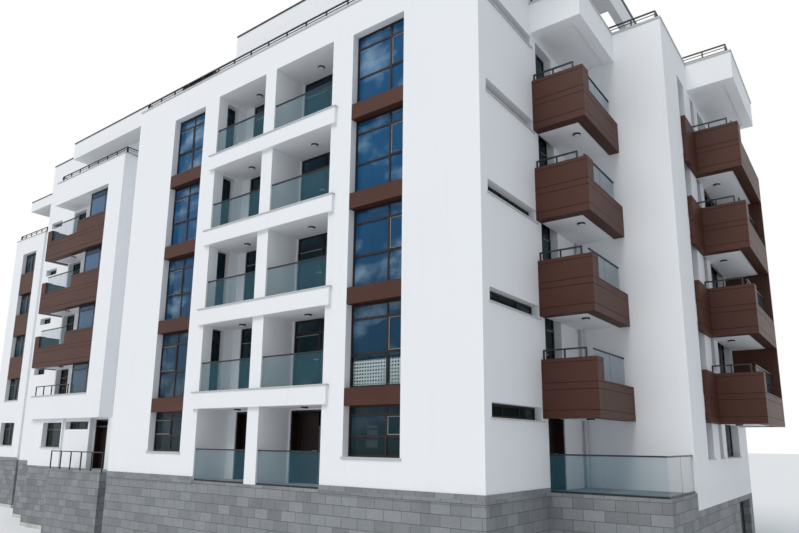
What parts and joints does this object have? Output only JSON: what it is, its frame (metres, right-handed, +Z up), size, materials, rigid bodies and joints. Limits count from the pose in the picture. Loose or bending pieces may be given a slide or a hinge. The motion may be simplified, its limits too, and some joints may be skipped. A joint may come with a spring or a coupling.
{
  "type": "apartment block, 1:2 scale model",
  "caption": "White five-storey apartment block with brown clad balconies, glazed loggias, a side wing, a stepped left part and a set-back roof storey, as a 1:2 scale model.",
  "frame": {"origin": "middle of the building's box, on the plane that its foundation stands on", "axes": "+X along the main front to the right, +Y from the front to the back, +Z up"},
  "size_m": [23.46, 8.095, 10.68],
  "materials": {
    "white_render": "smooth white render",
    "concrete": "plain concrete",
    "grey_stone": "grey stone cladding in blocks",
    "pale_stone": "honed pale stone",
    "brown_panel": "satin brown cladding panel",
    "brown_frame": "dark brown coated frame",
    "window_glass": "dark reflecting double glazing",
    "railing_glass": "blue-green laminated glass",
    "dark_metal": "dark grey coated metal"
  },
  "bodies": {
    "building": {"base_slab": "concrete", "basement_walls": "grey_stone", "stone_plinth": "grey_stone", "garage_shutter": "dark_metal", "garden_terrace": "grey_stone", "entrance_landing": "grey_stone", "floor_slabs": "concrete", "front_walls": "white_render", "loggia_bands": "white_render", "loggia_slabs": "white_render", "loggia_side_walls": "white_render", "loggia_back_wall": "white_render", "side_walls": "white_render", "wing_walls": "white_render", "rear_walls": "white_render", "left_bay_walls": "white_render", "left_ground_walls": "white_render", "left_wing_walls": "white_render", "end_block_walls": "white_render", "entrance_wall": "white_render", "spandrels": "brown_panel", "window_sills": "pale_stone", "front_window_frames": "brown_frame", "front_window_glass": "window_glass", "side_window_frames": "brown_frame", "side_window_glass": "window_glass", "left_window_frames": "brown_frame", "left_window_glass": "window_glass", "rear_window_frames": "brown_frame", "rear_window_glass": "window_glass", "balcony_slabs": "white_render", "balcony_panels": "brown_panel", "railing_glass": "railing_glass", "handrails": "dark_metal", "wall_copings": "pale_stone", "roof_railing": "dark_metal", "roof_balcony_walls": "white_render", "roof_storey_walls": "white_render", "roof_slabs": "white_render", "roof_edges": "white_render", "roof_trims": "dark_metal", "roof_unit": "dark_metal", "door_frames": "brown_frame"},
    "entrance_door_leaf": {"entrance_door": "brown_frame"},
    "terrace_door_leaf": {"terrace_door": "brown_frame"},
    "loggia_door_right_leaf": {"loggia_door_right": "brown_frame"},
    "loggia_door_left_leaf": {"loggia_door_left": "brown_frame"}
  },
  "joints": [
    {"name": "entrance_door_hinge", "type": "hinge", "parent": "building", "child": "entrance_door_leaf", "pos_m": [-1.91725, -2.6655, 1.525], "axis": [0, 0, 1], "range_deg": [0, 90]},
    {"name": "terrace_door_hinge", "type": "hinge", "parent": "building", "child": "terrace_door_leaf", "pos_m": [9.093, -2.03975, 1.525], "axis": [0, 0, 1], "range_deg": [0, 90]},
    {"name": "loggia_door_right_hinge", "type": "hinge", "parent": "building", "child": "loggia_door_right_leaf", "pos_m": [5.21775, -3.1155, 1.525], "axis": [0, 0, 1], "range_deg": [0, 90]},
    {"name": "loggia_door_left_hinge", "type": "hinge", "parent": "building", "child": "loggia_door_left_leaf", "pos_m": [3.80275, -3.1155, 1.525], "axis": [0, 0, 1], "range_deg": [0, 90]}
  ]
}
